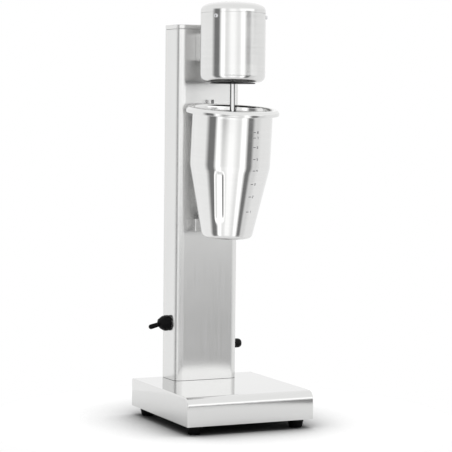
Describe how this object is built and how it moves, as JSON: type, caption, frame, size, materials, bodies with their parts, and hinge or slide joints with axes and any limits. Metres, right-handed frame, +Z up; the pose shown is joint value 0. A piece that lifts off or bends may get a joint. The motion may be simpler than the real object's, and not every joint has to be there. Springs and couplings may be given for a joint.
{
  "type": "milkshake mixer",
  "caption": "Countertop drink mixer: folded steel base and column, a round motor head with a vertical agitator spindle, and a steel mixing cup hung on a hook.",
  "frame": {"origin": "on the surface the feet stand on, in the middle of the base", "axes": "+Z up, along the spindle; the front, where the cup hangs, faces -Y; +X to the right seen from the front"},
  "size_m": [0.17, 0.18, 0.5257],
  "materials": {
    "brushed_steel": "vertically brushed stainless sheet",
    "polished_steel": "bright polished stainless",
    "zinc_plate": "zinc plated steel",
    "screw_steel": "plain turned steel",
    "black_plastic": "moulded, satin",
    "black_rubber": "moulded, dull",
    "lamination_steel": "stacked sheet edges",
    "copper_winding": "varnished copper wire",
    "carbon": "pressed graphite"
  },
  "bodies": {
    "root": {"anchor_bolt_left": "screw_steel", "anchor_bolt_right": "screw_steel", "back_cover_screw_1": "screw_steel", "back_cover_screw_2": "screw_steel", "back_cover_screw_3": "screw_steel", "back_cover_screw_4": "screw_steel", "base_bottom_plate": "zinc_plate", "base_cover": "brushed_steel", "brush_ring": "black_plastic", "cable_gland": "black_rubber", "carbon_brush_left": "carbon", "carbon_brush_right": "carbon", "column_anchor": "zinc_plate", "column_back_cover": "brushed_steel", "column_shell": "brushed_steel", "column_top_cap": "brushed_steel", "cup_hook": "polished_steel", "cup_rest": "brushed_steel", "cup_rest_pad": "black_rubber", "foot_front_left": "black_rubber", "foot_front_right": "black_rubber", "foot_rear_left": "black_rubber", "foot_rear_right": "black_rubber", "foot_screw_front_left": "screw_steel", "foot_screw_front_right": "screw_steel", "foot_screw_rear_left": "screw_steel", "foot_screw_rear_right": "screw_steel", "fuse_holder": "black_plastic", "head_bottom_plate": "black_plastic", "head_cap": "brushed_steel", "head_housing": "brushed_steel", "head_screw_1": "screw_steel", "head_screw_2": "screw_steel", "head_screw_3": "screw_steel", "hook_screw_1": "screw_steel", "hook_screw_2": "screw_steel", "lower_bearing": "screw_steel", "motor_lower_bracket": "zinc_plate", "motor_upper_bracket": "zinc_plate", "neck_block": "brushed_steel", "neck_bolt_lower": "screw_steel", "neck_bolt_upper": "screw_steel", "stator": "lamination_steel", "switch_body": "black_plastic", "switch_boot": "black_rubber", "switch_nut": "screw_steel", "upper_bearing": "screw_steel", "winding_lower": "copper_winding", "winding_upper": "copper_winding"},
    "agitator": {"motor_shaft": "screw_steel", "rotor_core": "lamination_steel", "commutator": "copper_winding", "cooling_fan": "black_plastic", "spindle_coupling": "screw_steel", "spindle": "polished_steel", "agitator_disc": "polished_steel", "agitator_nut": "polished_steel"},
    "cup": {"cup": "polished_steel"},
    "switch_lever": {"switch_lever": "screw_steel"},
    "fuse_cap": {"fuse_cap": "black_plastic"}
  },
  "joints": [
    {"name": "spindle_spin", "type": "hinge", "parent": "root", "child": "agitator", "pos_m": [0, -0.0245, 0.345], "axis": [0, 0, 1], "continuous": true},
    {"name": "cup_lift", "type": "slide", "parent": "root", "child": "cup", "axis": [0, 0, 1], "range_m": [0, 0.012]},
    {"name": "switch_lever_tilt", "type": "hinge", "parent": "root", "child": "switch_lever", "pos_m": [-0.052, 0.067, 0.119], "axis": [0, 1, 0], "range_deg": [0, 28]},
    {"name": "fuse_cap_turn", "type": "hinge", "parent": "root", "child": "fuse_cap", "pos_m": [0.0525, 0.067, 0.0887], "axis": [1, 0, 0], "range_deg": [0, 90]}
  ]
}
